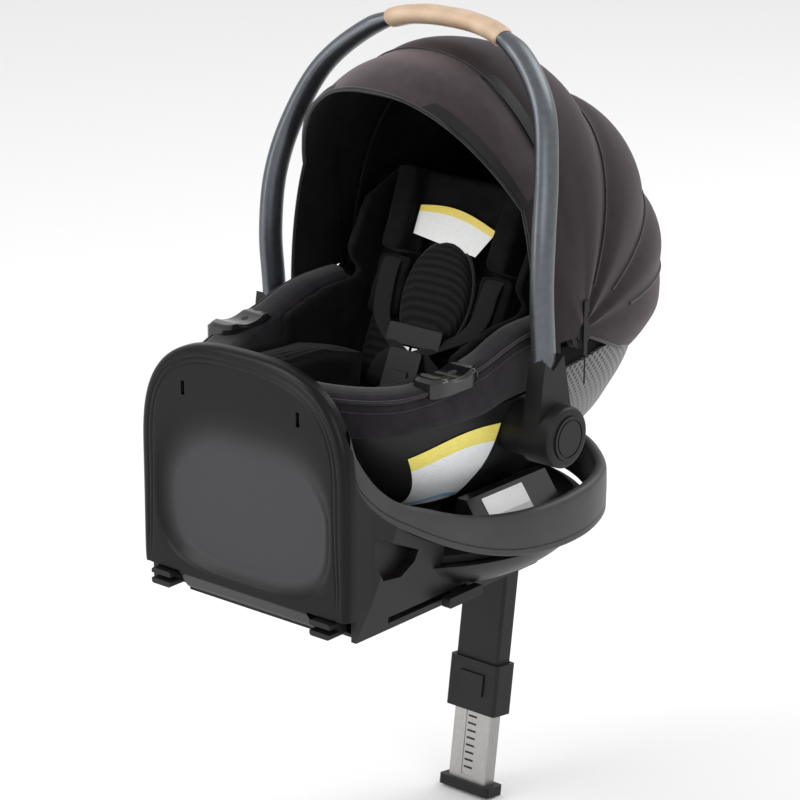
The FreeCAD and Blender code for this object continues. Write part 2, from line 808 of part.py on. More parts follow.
parts = {
    "base_housing": base_housing(),
    "rebound_panel": rebound_panel(),
    "rim_band": rim_band(),
    "side_grips": side_grips(),
    "bearing_ring": bearing_ring(),
    "panel_pins": panel_pins(),
    "base_screws": base_screws(),
    "leg_hinge_pin": leg_hinge_pin(),
    "rotation_button": rotation_button(),
    "leg_upper_tube": leg_upper_tube(),
    "leg_clamp_housing": leg_clamp_housing(),
    "leg_button": leg_button(),
    "leg_lower_tube": leg_lower_tube(),
    "leg_foot": leg_foot(),
    "turntable_plate": turntable_plate(),
    "dock_towers": dock_towers(),
    "dock_bars": dock_bars(),
    "carrier_shell": carrier_shell(WALL),
    "rear_shell": rear_shell(WALL),
    "release_lever": release_lever(),
    "handle_mounts": both_sides(handle_mount()),
    "handle_axles": both_sides(handle_axle()),
    "foam_liner": foam_liner(),
    "seat_pad": seat_pad(),
    "seat_cover": seat_cover(),
    "belt_guides": both_sides(belt_guide()),
    "infant_insert": infant_insert(),
    "body_insert": body_insert(),
    "head_support": head_support(),
    "side_bolsters": side_bolsters(),
    "strap_pads": strap_pads(),
    "chest_clip": chest_clip(),
    "buckle_housing": buckle_housing(),
    "buckle_button": buckle_button(),
    "buckle_tongues": buckle_tongues(),
    "adjuster_housing": adjuster_housing(),
    "adjuster_lever": adjuster_lever(),
    "canopy_rear": canopy_rear(),
    "canopy_gusset": canopy_gusset(),
    "canopy_mid": canopy_mid(),
    "canopy_front": canopy_front(),
    "canopy_visor": canopy_visor(),
    "visor_bow": visor_bow(),
    "front_bow": front_bow(),
    "mid_bow": mid_bow(),
    "canopy_mounts": canopy_mounts(),
    "zip_pull": zip_pull(),
    "handle_tube": TUBE,
    "handle_grip": handle_grip(),
}
for side, place in (("right", lambda s: s), ("left", mirror_x)):
    parts["anchor_bar_" + side] = place(anchor_bar())
    parts["anchor_jaw_" + side] = place(anchor_jaw())
    parts["anchor_slider_" + side] = place(anchor_slider())
    parts["hub_cover_" + side] = place(hub_cover()).cut(TUBE)
    parts["hub_button_" + side] = place(hub_button())

cushions = ["body_insert", "infant_insert", "seat_pad", "strap_pads"]
fittings = ["chest_clip", "buckle_housing", "buckle_tongues"]
parts["harness_straps"] = harness_straps([parts[name] for name in cushions + fittings])

for name, shape in parts.items():
    save(name, shape)
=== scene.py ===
import math
import bpy
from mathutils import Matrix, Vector


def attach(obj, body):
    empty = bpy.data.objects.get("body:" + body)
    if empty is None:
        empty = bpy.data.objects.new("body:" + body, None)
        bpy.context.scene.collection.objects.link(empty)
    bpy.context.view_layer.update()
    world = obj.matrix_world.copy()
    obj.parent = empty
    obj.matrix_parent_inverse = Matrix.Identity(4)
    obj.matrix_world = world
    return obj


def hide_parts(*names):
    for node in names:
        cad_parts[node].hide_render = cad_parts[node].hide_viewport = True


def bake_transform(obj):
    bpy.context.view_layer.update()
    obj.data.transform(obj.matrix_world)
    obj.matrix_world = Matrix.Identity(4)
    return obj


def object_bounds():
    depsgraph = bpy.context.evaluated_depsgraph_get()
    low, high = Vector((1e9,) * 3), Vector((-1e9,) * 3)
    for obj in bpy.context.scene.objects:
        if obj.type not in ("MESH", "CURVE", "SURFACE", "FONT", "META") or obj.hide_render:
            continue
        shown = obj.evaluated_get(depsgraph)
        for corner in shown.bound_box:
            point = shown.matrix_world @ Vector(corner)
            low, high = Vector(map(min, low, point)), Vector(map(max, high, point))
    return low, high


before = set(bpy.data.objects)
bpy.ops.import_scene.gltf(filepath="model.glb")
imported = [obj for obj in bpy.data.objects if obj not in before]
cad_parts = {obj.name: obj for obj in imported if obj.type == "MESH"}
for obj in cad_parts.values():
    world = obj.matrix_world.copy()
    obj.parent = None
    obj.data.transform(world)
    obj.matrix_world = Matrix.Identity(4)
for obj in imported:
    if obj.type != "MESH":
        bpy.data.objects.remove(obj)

cadBox = [list(corner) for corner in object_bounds()]

# ---- camera first, so every look at the work is from the same place

view = {
    "place": (2.24153, -2.65515, 1.34057),
    "aim": (-0.00616, -0.00476, 0.17105),
    "lens": 148.5,
    "sensor": 36.0,
}


def deselectAll():
    if bpy.context.object and bpy.context.object.mode != "OBJECT":
        bpy.ops.object.mode_set(mode="OBJECT")
    bpy.ops.object.select_all(action="DESELECT")


def pickOnly(piece):
    deselectAll()
    piece.select_set(True)
    bpy.context.view_layer.objects.active = piece


deselectAll()
bpy.ops.object.camera_add(location=view["place"])
camera = bpy.context.object
camera.name = "camera"
aim = Vector(view["aim"]) - Vector(view["place"])
camera.rotation_euler = aim.to_track_quat("-Z", "Y").to_euler()
camera.data.lens = view["lens"]
camera.data.sensor_width = view["sensor"]
camera.data.clip_end = 30
bpy.context.scene.camera = camera
print("camera set")


# ---- helpers for making meshes

def modify(piece, kind, **settings):
    pickOnly(piece)
    bpy.ops.object.modifier_add(type=kind)
    step = piece.modifiers[-1]
    for key, value in settings.items():
        setattr(step, key, value)
    bpy.ops.object.modifier_apply(modifier=step.name)
    return piece


def editAll(piece, *steps):
    pickOnly(piece)
    bpy.ops.object.mode_set(mode="EDIT")
    bpy.ops.mesh.select_all(action="SELECT")
    for step in steps:
        step()
    bpy.ops.object.mode_set(mode="OBJECT")
    return piece


def mergeClose(gap=0.00005):
    return lambda: bpy.ops.mesh.remove_doubles(threshold=gap)


def faceOut():
    bpy.ops.mesh.normals_make_consistent(inside=False)


def settle(piece):
    pickOnly(piece)
    bpy.ops.object.transform_apply(location=True, rotation=True, scale=True)
    return piece


def smoothed(piece, degrees=40):
    pickOnly(piece)
    bpy.ops.object.shade_smooth_by_angle(angle=math.radians(degrees))
    return piece


# a grid whose points are laid on a curved surface by place(u, v), both 0 to 1
def surface(name, across, along, place, closed=False):
    deselectAll()
    bpy.ops.mesh.primitive_grid_add(x_subdivisions=across, y_subdivisions=along, size=2)
    piece = bpy.context.object
    piece.name = name
    for point in piece.data.vertices:
        point.co = place((point.co.x + 1) / 2, (point.co.y + 1) / 2)
    if closed:
        editAll(piece, mergeClose(), faceOut)
    return piece


def joined(name, pieces):
    deselectAll()
    for piece in pieces:
        piece.select_set(True)
    bpy.context.view_layer.objects.active = pieces[0]
    if len(pieces) > 1:
        bpy.ops.object.join()
    piece = bpy.context.object
    piece.name = name
    return piece


# a round bead along a line of points
def bead(name, points, radius, sides=3, closed=False):
    curve = bpy.data.curves.new(name, "CURVE")
    curve.dimensions = "3D"
    line = curve.splines.new("POLY")
    line.points.add(len(points) - 1)
    for spot, point in zip(line.points, points):
        spot.co = (point[0], point[1], point[2], 1)
    line.use_cyclic_u = closed
    curve.bevel_depth = radius
    curve.bevel_resolution = sides
    curve.use_fill_caps = not closed
    piece = bpy.data.objects.new(name, curve)
    bpy.context.collection.objects.link(piece)
    pickOnly(piece)
    bpy.ops.object.convert(target="MESH")
    return smoothed(bpy.context.object, 60)


def steps(table, value):
    last = table[0]
    for here in table[1:]:
        if value <= here[0]:
            t = (value - last[0]) / (here[0] - last[0])
            t = min(max(t, 0), 1)
            return last[1] + (here[1] - last[1]) * t
        last = here
    return table[-1][1]


# a smooth run through (place, value) pairs
def easy(table, value):
    count = len(table)
    if value <= table[0][0]:
        return table[0][1]
    if value >= table[-1][0]:
        return table[-1][1]
    i = next(k for k in range(count - 1) if value <= table[k + 1][0])
    x0, y0 = table[i]
    x1, y1 = table[i + 1]

    def slope(k):
        a, b = table[max(k - 1, 0)], table[min(k + 1, count - 1)]
        return (b[1] - a[1]) / (b[0] - a[0])

    t = (value - x0) / (x1 - x0)
    h = x1 - x0
    return ((2 * t**3 - 3 * t**2 + 1) * y0 + (t**3 - 2 * t**2 + t) * h * slope(i)
            + (3 * t**2 - 2 * t**3) * y1 + (t**3 - t**2) * h * slope(i + 1))


def mix(a, b, t):
    return a + (b - a) * t


def ease(t):
    t = min(max(t, 0), 1)
    return t * t * (3 - 2 * t)


# closes an open end with one face
def capEnds(piece):
    pickOnly(piece)
    bpy.ops.object.mode_set(mode="EDIT")
    bpy.ops.mesh.select_all(action="DESELECT")
    bpy.ops.mesh.select_non_manifold()
    bpy.ops.mesh.edge_face_add()
    bpy.ops.mesh.select_all(action="SELECT")
    bpy.ops.mesh.normals_make_consistent(inside=False)
    bpy.ops.object.mode_set(mode="OBJECT")
    return piece


mm = 0.001

# ---- materials: shared effects are groups, each finish sets its own values


def newGroup(name, inputs, outputs):
    group = bpy.data.node_groups.new(name, "ShaderNodeTree")
    for label, kind, value in inputs:
        socket = group.interface.new_socket(name=label, in_out="INPUT", socket_type=kind)
        if value is not None:
            socket.default_value = value
    for label, kind in outputs:
        group.interface.new_socket(name=label, in_out="OUTPUT", socket_type=kind)
    start = group.nodes.new("NodeGroupInput")
    end = group.nodes.new("NodeGroupOutput")
    return group, start, end


def node(tree, kind, **settings):
    made = tree.nodes.new(kind)
    for key, value in settings.items():
        setattr(made, key, value)
    return made


def sums(tree, operation, first, second):
    made = node(tree, "ShaderNodeMath", operation=operation)
    for socket, value in zip(made.inputs, (first, second)):
        if isinstance(value, (int, float)):
            socket.default_value = value
        else:
            tree.links.new(value, socket)
    return made.outputs[0]


def makeGrain():
    group, start, end = newGroup(
        "mouldedGrain",
        [("Vector", "NodeSocketVector", None), ("Size", "NodeSocketFloat", 900.0)],
        [("Height", "NodeSocketFloat"), ("Patches", "NodeSocketFloat")],
    )
    cells = node(group, "ShaderNodeTexVoronoi", feature="SMOOTH_F1")
    group.links.new(start.outputs["Vector"], cells.inputs["Vector"])
    group.links.new(start.outputs["Size"], cells.inputs["Scale"])
    patches = node(group, "ShaderNodeTexNoise")
    patches.inputs["Scale"].default_value = 14.0
    patches.inputs["Detail"].default_value = 5.0
    group.links.new(start.outputs["Vector"], patches.inputs["Vector"])
    group.links.new(cells.outputs["Distance"], end.inputs["Height"])
    group.links.new(patches.outputs["Fac"], end.inputs["Patches"])
    return group


# crossed threads, with slubs where the yarn thickens
def makeWeave():
    group, start, end = newGroup(
        "crossedWeave",
        [("Vector", "NodeSocketVector", None), ("Threads", "NodeSocketFloat", 700.0)],
        [("Height", "NodeSocketFloat"), ("Tone", "NodeSocketFloat")],
    )
    parts = node(group, "ShaderNodeSeparateXYZ")
    group.links.new(start.outputs["Vector"], parts.inputs[0])
    size = start.outputs["Threads"]
    side = sums(group, "ADD", parts.outputs[0], parts.outputs[1])
    warp = sums(group, "SINE", sums(group, "MULTIPLY", sums(group, "MULTIPLY", side, size), 4.4), 0)
    up = sums(group, "ADD", parts.outputs[2], sums(group, "MULTIPLY", parts.outputs[1], 0.35))
    weft = sums(group, "SINE", sums(group, "MULTIPLY", sums(group, "MULTIPLY", up, size), 4.4), 0)
    slub = node(group, "ShaderNodeTexNoise")
    slub.inputs["Scale"].default_value = 55.0
    slub.inputs["Detail"].default_value = 6.0
    group.links.new(start.outputs["Vector"], slub.inputs["Vector"])
    crossed = sums(group, "MULTIPLY", warp, weft)
    both = sums(group, "ADD", crossed, sums(group, "MULTIPLY", slub.outputs["Fac"], 0.8))
    group.links.new(both, end.inputs["Height"])
    group.links.new(slub.outputs["Fac"], end.inputs["Tone"])
    return group


grainGroup = makeGrain()
weaveGroup = makeWeave()


def startMaterial(name):
    material = bpy.data.materials.new(name)
    material.use_nodes = True
    tree = material.node_tree
    shader = next(n for n in tree.nodes if n.type == "BSDF_PRINCIPLED")
    place = node(tree, "ShaderNodeTexCoord").outputs["Object"]
    return material, tree, shader, place


def twoTone(tree, factor, dark, light, low=0.35, high=0.65):
    ramp = node(tree, "ShaderNodeValToRGB")
    ramp.color_ramp.elements[0].position = low
    ramp.color_ramp.elements[1].position = high
    ramp.color_ramp.elements[0].color = (*dark, 1)
    ramp.color_ramp.elements[1].color = (*light, 1)
    tree.links.new(factor, ramp.inputs[0])
    return ramp.outputs[0]


def raised(tree, shader, height, distance, strength):
    bump = node(tree, "ShaderNodeBump")
    bump.inputs["Distance"].default_value = distance
    bump.inputs["Strength"].default_value = strength
    tree.links.new(height, bump.inputs["Height"])
    tree.links.new(bump.outputs[0], shader.inputs["Normal"])
    return bump


def mouldedPlastic(name, dark, light, rough, grain=900.0, depth=0.00004, coat=0.0):
    material, tree, shader, place = startMaterial(name)
    effect = node(tree, "ShaderNodeGroup", node_tree=grainGroup)
    effect.inputs["Size"].default_value = grain
    tree.links.new(place, effect.inputs["Vector"])
    tree.links.new(twoTone(tree, effect.outputs["Patches"], dark, light), shader.inputs["Base Color"])
    spread = node(tree, "ShaderNodeMapRange")
    spread.inputs["To Min"].default_value = rough[0]
    spread.inputs["To Max"].default_value = rough[1]
    tree.links.new(effect.outputs["Patches"], spread.inputs["Value"])
    tree.links.new(spread.outputs[0], shader.inputs["Roughness"])
    raised(tree, shader, effect.outputs["Height"], depth, 0.5)
    shader.inputs["Specular IOR Level"].default_value = 0.26
    shader.inputs["Coat Weight"].default_value = coat
    shader.inputs["Coat Roughness"].default_value = 0.2
    return material


def wovenCloth(name, dark, light, threads, depth, sheen, rough=0.85, sheenTint=(1, 1, 1)):
    material, tree, shader, place = startMaterial(name)
    effect = node(tree, "ShaderNodeGroup", node_tree=weaveGroup)
    effect.inputs["Threads"].default_value = threads
    tree.links.new(place, effect.inputs["Vector"])
    tree.links.new(twoTone(tree, effect.outputs["Tone"], dark, light), shader.inputs["Base Color"])
    raised(tree, shader, effect.outputs["Height"], depth, 0.6)
    shader.inputs["Roughness"].default_value = rough
    shader.inputs["Specular IOR Level"].default_value = 0.12
    shader.inputs["Sheen Weight"].default_value = sheen
    shader.inputs["Sheen Roughness"].default_value = 0.45
    shader.inputs["Sheen Tint"].default_value = (*sheenTint, 1)
    return material


# knitted ribs that run one way
def ribbedMesh(name, dark, light, ribs, direction):
    material, tree, shader, place = startMaterial(name)
    wave = node(tree, "ShaderNodeTexWave", bands_direction=direction)
    wave.inputs["Scale"].default_value = ribs
    wave.inputs["Distortion"].default_value = 0.4
    tree.links.new(place, wave.inputs["Vector"])
    holes = node(tree, "ShaderNodeTexVoronoi")
    holes.inputs["Scale"].default_value = 620.0
    tree.links.new(place, holes.inputs["Vector"])
    both = sums(tree, "ADD", wave.outputs["Fac"], sums(tree, "MULTIPLY", holes.outputs["Distance"], 0.6))
    tree.links.new(twoTone(tree, wave.outputs["Fac"], dark, light, 0.1, 0.9), shader.inputs["Base Color"])
    raised(tree, shader, both, 0.0006, 0.9)
    shader.inputs["Roughness"].default_value = 0.8
    shader.inputs["Specular IOR Level"].default_value = 0.12
    shader.inputs["Sheen Weight"].default_value = 0.05
    shader.inputs["Sheen Roughness"].default_value = 0.5
    return material


def brushedMetal(name, colour, rough, stretch, metallic=1.0, depth=0.00002):
    material, tree, shader, place = startMaterial(name)
    mapping = node(tree, "ShaderNodeMapping")
    mapping.inputs["Scale"].default_value = stretch
    tree.links.new(place, mapping.inputs["Vector"])
    streaks = node(tree, "ShaderNodeTexNoise")
    streaks.inputs["Scale"].default_value = 60.0
    streaks.inputs["Detail"].default_value = 6.0
    tree.links.new(mapping.outputs[0], streaks.inputs["Vector"])
    dark = tuple(c * 0.86 for c in colour)
    tree.links.new(twoTone(tree, streaks.outputs["Fac"], dark, colour), shader.inputs["Base Color"])
    spread = node(tree, "ShaderNodeMapRange")
    spread.inputs["To Min"].default_value = rough - 0.07
    spread.inputs["To Max"].default_value = rough + 0.07
    tree.links.new(streaks.outputs["Fac"], spread.inputs["Value"])
    tree.links.new(spread.outputs[0], shader.inputs["Roughness"])
    raised(tree, shader, streaks.outputs["Fac"], depth, 0.4)
    shader.inputs["Metallic"].default_value = metallic
    return material


def tanLeather(name):
    material, tree, shader, place = startMaterial(name)
    creases = node(tree, "ShaderNodeTexVoronoi", feature="DISTANCE_TO_EDGE")
    creases.inputs["Scale"].default_value = 520.0
    tree.links.new(place, creases.inputs["Vector"])
    blotch = node(tree, "ShaderNodeTexNoise")
    blotch.inputs["Scale"].default_value = 35.0
    blotch.inputs["Detail"].default_value = 7.0
    tree.links.new(place, blotch.inputs["Vector"])
    colour = twoTone(tree, blotch.outputs["Fac"], (0.42, 0.29, 0.19), (0.58, 0.43, 0.30), 0.3, 0.7)
    tree.links.new(colour, shader.inputs["Base Color"])
    raised(tree, shader, creases.outputs["Distance"], 0.00025, 0.7)
    shader.inputs["Roughness"].default_value = 0.52
    shader.inputs["Coat Weight"].default_value = 0.08
    return material


# staggered dents that shrink towards the top, wrapped round the upright axis
def dentedShell(name):
    material, tree, shader, place = startMaterial(name)
    parts = node(tree, "ShaderNodeSeparateXYZ")
    tree.links.new(place, parts.inputs[0])
    turnRound = sums(tree, "ARCTAN2", parts.outputs[0], parts.outputs[1])
    around = sums(tree, "MULTIPLY", turnRound, 0.22)
    pair = node(tree, "ShaderNodeCombineXYZ")
    tree.links.new(around, pair.inputs[0])
    tree.links.new(parts.outputs[2], pair.inputs[1])
    mapping = node(tree, "ShaderNodeMapping")
    mapping.inputs["Rotation"].default_value = (0, 0, math.radians(45))
    tree.links.new(pair.outputs[0], mapping.inputs["Vector"])
    cells = node(tree, "ShaderNodeTexVoronoi", voronoi_dimensions="2D")
    cells.inputs["Scale"].default_value = 150.0
    cells.inputs["Randomness"].default_value = 0.0
    tree.links.new(mapping.outputs[0], cells.inputs["Vector"])
    grade = node(tree, "ShaderNodeMapRange")
    grade.inputs["From Min"].default_value = 0.135
    grade.inputs["From Max"].default_value = 0.235
    grade.inputs["To Min"].default_value = 0.14
    grade.inputs["To Max"].default_value = 0.42
    tree.links.new(parts.outputs[2], grade.inputs["Value"])
    inside = node(tree, "ShaderNodeMapRange", interpolation_type="SMOOTHSTEP")
    tree.links.new(cells.outputs["Distance"], inside.inputs["Value"])
    tree.links.new(sums(tree, "SUBTRACT", grade.outputs[0], 0.06), inside.inputs["From Min"])
    tree.links.new(grade.outputs[0], inside.inputs["From Max"])
    colour = twoTone(tree, inside.outputs[0], (0.012, 0.012, 0.013), (0.135, 0.135, 0.14), 0.2, 0.8)
    tree.links.new(colour, shader.inputs["Base Color"])
    raised(tree, shader, inside.outputs[0], 0.0012, 0.9)
    shader.inputs["Roughness"].default_value = 0.45
    return material


# the rebound panel is near black; down in its dish the colour is painted paler, a painted reflection of the bright
# floor, and the roughness eases towards satin there
def dishedPanel(name):
    material, tree, shader, place = startMaterial(name)
    effect = node(tree, "ShaderNodeGroup", node_tree=grainGroup)
    tree.links.new(place, effect.inputs["Vector"])
    share = node(tree, "ShaderNodeAttribute", attribute_name="dish").outputs["Fac"]
    # paler base colour where the dish attribute is high: painted reflection of the bright floor
    colour = twoTone(tree, share, (0.0025, 0.0024, 0.0025), (0.040, 0.040, 0.043), 0.0, 1.0)
    tree.links.new(colour, shader.inputs["Base Color"])
    spread = node(tree, "ShaderNodeMapRange")
    spread.inputs["To Min"].default_value = 0.30
    spread.inputs["To Max"].default_value = 0.46
    tree.links.new(share, spread.inputs["Value"])
    tree.links.new(spread.outputs[0], shader.inputs["Roughness"])
    raised(tree, shader, effect.outputs["Height"], 0.00004, 0.4)
    shader.inputs["Specular IOR Level"].default_value = 0.18
    return material


# a printed label with plain bands and no lettering
def blankLabel(name, bands, base=(0.82, 0.83, 0.84)):
    material, tree, shader, place = startMaterial(name)
    uv = node(tree, "ShaderNodeUVMap", uv_map="UVMap").outputs[0]
    parts = node(tree, "ShaderNodeSeparateXYZ")
    tree.links.new(uv, parts.inputs[0])
    ramp = node(tree, "ShaderNodeValToRGB")
    ramp.color_ramp.interpolation = "CONSTANT"
    ramp.color_ramp.elements[0].color = (*base, 1)
    ramp.color_ramp.elements[1].position = 0.999
    ramp.color_ramp.elements[1].color = (*base, 1)
    for start, colour in bands:
        stop = ramp.color_ramp.elements.new(start)
        stop.color = (*colour, 1)
    tree.links.new(parts.outputs[1], ramp.inputs[0])
    lines = node(tree, "ShaderNodeTexBrick")
    lines.inputs["Scale"].default_value = 9.0
    lines.inputs["Color1"].default_value = (0.80, 0.80, 0.80, 1)
    lines.inputs["Color2"].default_value = (1, 1, 1, 1)
    lines.inputs["Mortar"].default_value = (1, 1, 1, 1)
    lines.inputs["Mortar Size"].default_value = 0.05
    tree.links.new(uv, lines.inputs["Vector"])
    blend = node(tree, "ShaderNodeMix", data_type="RGBA", blend_type="MULTIPLY")
    blend.inputs[0].default_value = 0.6
    tree.links.new(ramp.outputs[0], blend.inputs[6])
    tree.links.new(lines.outputs["Color"], blend.inputs[7])
    tree.links.new(blend.outputs[2], shader.inputs["Base Color"])
    shader.inputs["Roughness"].default_value = 0.4
    return material


finish = {
    "panelGloss": dishedPanel("panelGloss"),
    "rimSatin": mouldedPlastic("rimSatin", (0.036, 0.036, 0.038), (0.046, 0.046, 0.048), (0.38, 0.48)),
    "blackPlastic": mouldedPlastic("blackPlastic", (0.005, 0.005, 0.0055), (0.009, 0.009, 0.0095),
                                   (0.42, 0.55)),
    "sidePlastic": mouldedPlastic("sidePlastic", (0.0055, 0.0045, 0.0045), (0.009, 0.0075, 0.0075),
                                  (0.34, 0.46)),
    "glossBlack": mouldedPlastic("glossBlack", (0.006, 0.006, 0.007), (0.010, 0.010, 0.011),
                                 (0.14, 0.22), coat=0.5),
    "greyShell": dentedShell("greyShell"),
    "canopyCloth": wovenCloth("canopyCloth", (0.009, 0.0055, 0.0065), (0.015, 0.0098, 0.0115),
                              900, 0.00012, 0.13, 0.55, (1.0, 0.80, 0.84)),
    # the visor is a satin cloth with more sheen; its raised base colour is partly painted light, standing for the
    # light falling on its top
    "visorSatinWithPaintedLight": wovenCloth("visorSatinWithPaintedLight", (0.024, 0.017, 0.019), (0.034, 0.025, 0.028), 900, 0.00012, 0.30,
                             0.5, (1.0, 0.84, 0.88)),
    "liningCloth": wovenCloth("liningCloth", (0.0035, 0.003, 0.003), (0.007, 0.006, 0.006),
                              800, 0.00012, 0.05),
    "innerCloth": wovenCloth("innerCloth", (0.002, 0.002, 0.0023), (0.005, 0.0048, 0.0052),
                             800, 0.00012, 0.04),
    "coverCloth": wovenCloth("coverCloth", (0.007, 0.0058, 0.0075), (0.014, 0.0115, 0.0145),
                             850, 0.00014, 0.20, 0.7),
    "pipingCloth": wovenCloth("pipingCloth", (0.012, 0.010, 0.011), (0.022, 0.018, 0.019),
                              1200, 0.0001, 0.35, 0.6),
    "ribMesh": ribbedMesh("ribMesh", (0.003, 0.003, 0.0035), (0.010, 0.010, 0.011), 75, "Y"),
    "sideMesh": ribbedMesh("sideMesh", (0.003, 0.003, 0.0035), (0.010, 0.010, 0.011), 60, "X"),
    "webbing": ribbedMesh("webbing", (0.006, 0.006, 0.006), (0.018, 0.018, 0.019), 220, "X"),
    "steel": brushedMetal("steel", (0.55, 0.55, 0.56), 0.30, (1, 12, 1)),
    "legMetal": brushedMetal("legMetal", (0.40, 0.39, 0.38), 0.40, (14, 14, 1)),
    "gunmetal": brushedMetal("gunmetal", (0.115, 0.125, 0.138), 0.36, (2, 2, 2), 0.82),
    "leather": tanLeather("leather"),
    "thread": wovenCloth("thread", (0.66, 0.58, 0.48), (0.80, 0.72, 0.62), 2500, 0.0001, 0.2),
    "sideLabel": blankLabel("sideLabel", [(0.10, (0.30, 0.55, 0.85)), (0.16, (0.84, 0.86, 0.88)),
                                          (0.80, (0.84, 0.72, 0.16))]),
    "dockLabel": blankLabel("dockLabel", [(0.42, (0.86, 0.86, 0.86))], (0.55, 0.56, 0.57)),
    "seatLabel": blankLabel("seatLabel", [(0.78, (0.80, 0.62, 0.10))], (0.78, 0.78, 0.77)),
}


def dress(piece, look, body=None):
    piece.data.materials.clear()
    piece.data.materials.append(finish[look])
    if body:
        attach(piece, body)
    return piece


print("materials made")

# ---- hard parts that keep their own shape, with better finishes

partLooks = {
    "sidePlastic": ["base_housing", "side_grips"],
    "blackPlastic": [
        "rotation_button", "anchor_jaw_left", "anchor_jaw_right", "anchor_slider_left", "anchor_slider_right",
        "leg_upper_tube", "leg_clamp_housing", "leg_button", "leg_foot", "turntable_plate", "carrier_shell",
        "handle_mounts", "release_lever", "adjuster_housing", "adjuster_lever", "chest_clip", "buckle_housing",
        "hub_cover_left", "hub_cover_right", "hub_button_left", "hub_button_right", "canopy_mounts", "zip_pull",
        "visor_bow", "front_bow", "mid_bow", "buckle_button",
    ],
    "glossBlack": ["dock_towers"],
    "greyShell": ["rear_shell"],
    "steel": [
        "bearing_ring", "panel_pins", "base_screws", "leg_hinge_pin", "anchor_bar_left", "anchor_bar_right",
        "dock_bars", "handle_axles", "buckle_tongues",
    ],
    "legMetal": ["leg_lower_tube"],
    "innerCloth": ["foam_liner"],
}
for look, names in partLooks.items():
    for name in names:
        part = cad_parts[name]
        part.data.materials.clear()
        part.data.materials.append(finish[look])
print("hard parts dressed")

# ---- canopy: sheets of one hood; the visor and front sheets are attached to their bows, the rear sheet to the carrier, and the fold and mid sheets to no body

hood = {
    "pivot": (0.090, 0.262),
    "radius": [(-29, 309), (-20, 311), (-11, 304), (-4, 306), (4, 301), (12, 293), (20, 281), (30, 262),
               (37, 273), (48, 280), (57, 280), (64, 273), (72, 286), (79, 291), (86, 286), (92, 288), (98, 284),
               (104, 261), (114, 220)],
    "half": [(-29, 179), (-10, 177), (4, 175), (18, 174), (30, 169), (45, 172), (64, 167), (76, 171), (86, 168),
             (104, 167), (114, 165)],
    "hem": 114,  # where the rear sheet ends at the sides
    "hemRise": 13,  # how much sooner it ends behind the head, above the release lever
    "hemTuck": 58,  # how far it draws in there, to meet the shell
    "fullness": 2.25,
    "corner": 176,  # where the visor's side ends and the cheek starts, from the pivot
    "cheekFront": 85,  # how far the cheek's straight front edge is ahead of the pivot
    "foot": 15,
    "visor": (-29, -10), "front": (-11, 2), "fold": (2, 11), "mid": (11, 30),  # each sheet's first and last angle
}


def hoodPoint(angle, reach, side, lift=0.0):
    r = easy(hood["radius"], angle) + lift
    half = easy(hood["half"], angle) + lift
    share = min(reach / r, 1.0)
    x = half * max(1 - share ** hood["fullness"], 0) ** (1 / hood["fullness"])
    a = math.radians(angle)
    y, z = hood["pivot"]
    return Vector((side * x * mm, y + reach * math.sin(a) * mm, z + reach * math.cos(a) * mm))


# one hoop of the hood: t runs from the right foot over the crown to the left foot
def archPoint(angle, t, foot, lift=0.0):
    r = easy(hood["radius"], angle) + lift
    first = math.asin(min((foot / r), 1) ** (hood["fullness"] / 2))
    a = mix(first, math.pi - first, t)
    reach = r * math.sin(a) ** (2 / hood["fullness"])
    half = easy(hood["half"], angle) + lift
    x = half * math.copysign(abs(math.cos(a)) ** (2 / hood["fullness"]), math.cos(a))
    b = math.radians(angle)
    y, z = hood["pivot"]
    return Vector((x * mm, y + reach * math.sin(b) * mm, z + reach * math.cos(b) * mm))


def cheekAngle(reach):
    return -math.degrees(math.asin(min(hood["cheekFront"] / reach, 0.9994)))


def hoodSheet(name, first, last, foot, across, lift=0.0):
    return surface(name, across, 64, lambda u, v: archPoint(mix(first, last, u), v, foot, lift))


def cheek(side):
    foot, corner = hood["foot"], hood["corner"]

    def place(u, v):
        reach = mix(foot, corner + 1, v)
        front = cheekAngle(reach) if reach > 85.2 else -88
        return hoodPoint(mix(max(front, -88), -11.0, u), reach, side)

    return surface("cheek", 18, 26, place)


# cloth outside, dark lining inside
def clothWall(piece, outside="canopyCloth", thick=0.0012):
    editAll(piece, mergeClose(0.0002), faceOut)
    for look in (outside, "liningCloth"):
        piece.data.materials.append(finish[look])
    modify(piece, "SOLIDIFY", thickness=thick, offset=-1, material_offset=1)
    return smoothed(piece, 60)


def carried(piece, body=None):
    if body:
        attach(piece, body)
    return piece


visorSheet = clothWall(hoodSheet("visorSheet", *hood["visor"], hood["corner"], 16), "visorSatinWithPaintedLight")
carried(visorSheet, "canopy_visor")
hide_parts("canopy_visor")

frontBand = hoodSheet("frontBand", *hood["front"], hood["foot"], 12)
frontSheet = clothWall(joined("frontSheet", [frontBand, cheek(1), cheek(-1)]))
carried(frontSheet, "canopy_front")
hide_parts("canopy_front")

foldSheet = clothWall(hoodSheet("foldSheet", *hood["fold"], hood["foot"], 10))
carried(foldSheet)
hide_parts("canopy_gusset")
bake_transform(foldSheet)

midSheet = clothWall(hoodSheet("midSheet", *hood["mid"], hood["foot"], 16))
carried(midSheet)
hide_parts("canopy_mid")
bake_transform(midSheet)


def rearPoint(u, v, lift=0.0):
    middle = ease(1 - abs(v - 0.5) / 0.2)
    angle = mix(hood["mid"][1], hood["hem"] - hood["hemRise"] * middle, u)
    tuck = hood["hemTuck"] * middle * ease((angle - 86) / 15)
    return archPoint(angle, v, hood["foot"], lift - tuck)


rearSheet = clothWall(surface("rearSheet", 60, 72, rearPoint))
carried(rearSheet, "carrier")
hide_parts("canopy_rear")
print("canopy sheets made")


def seamBead(name, angle, foot, radius, lift, body, look="pipingCloth"):
    points = [archPoint(angle, k / 70, foot, lift) for k in range(71)]
    return dress(bead(name, points, radius * mm), look, body)


